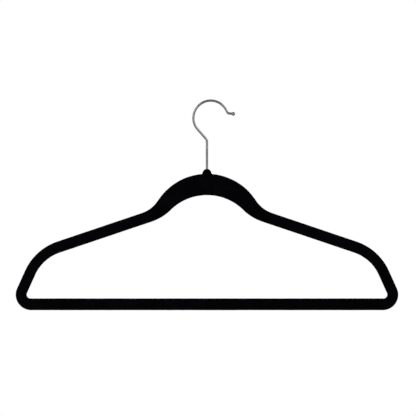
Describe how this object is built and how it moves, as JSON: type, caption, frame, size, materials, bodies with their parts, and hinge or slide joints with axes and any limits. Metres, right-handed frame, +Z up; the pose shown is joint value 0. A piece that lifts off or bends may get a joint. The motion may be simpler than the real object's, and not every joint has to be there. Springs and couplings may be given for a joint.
{
  "type": "clothes hanger",
  "caption": "Slim flocked clothes hanger with an arched centre, sloping shoulders, a straight trouser bar and a swivelling bent-wire hook with a ball tip.",
  "frame": {"origin": "the point inside the hook that rests on the rail, on the axis that the hook turns about", "axes": "+X across the hanger, towards the side where the hook opens; +Y through its thickness, from front to rear, which is the direction of the rail; +Z up along the stem of the hook"},
  "size_m": [0.445, 0.0102, 0.2452],
  "materials": {
    "plated_wire": "bright nickel plate over drawn steel wire",
    "plated_ball": "bright nickel plate",
    "washer_steel": "stamped, zinc plated",
    "collar_brass": "turned",
    "shell_plastic": "moulded black ABS",
    "flock": "short black nylon flock, matt"
  },
  "bodies": {
    "hook": {"hook_wire": "plated_wire", "hook_tip_ball": "plated_ball", "thrust_washer": "washer_steel"},
    "hanger": {"neck_collar": "collar_brass", "front_shell": "shell_plastic", "rear_shell": "shell_plastic", "flock_coat": "flock"}
  },
  "joints": [
    {"name": "hook_swivel", "type": "hinge", "parent": "hook", "child": "hanger", "pos_m": [0, 0, -0.086], "axis": [0, 0, 1], "continuous": true}
  ]
}
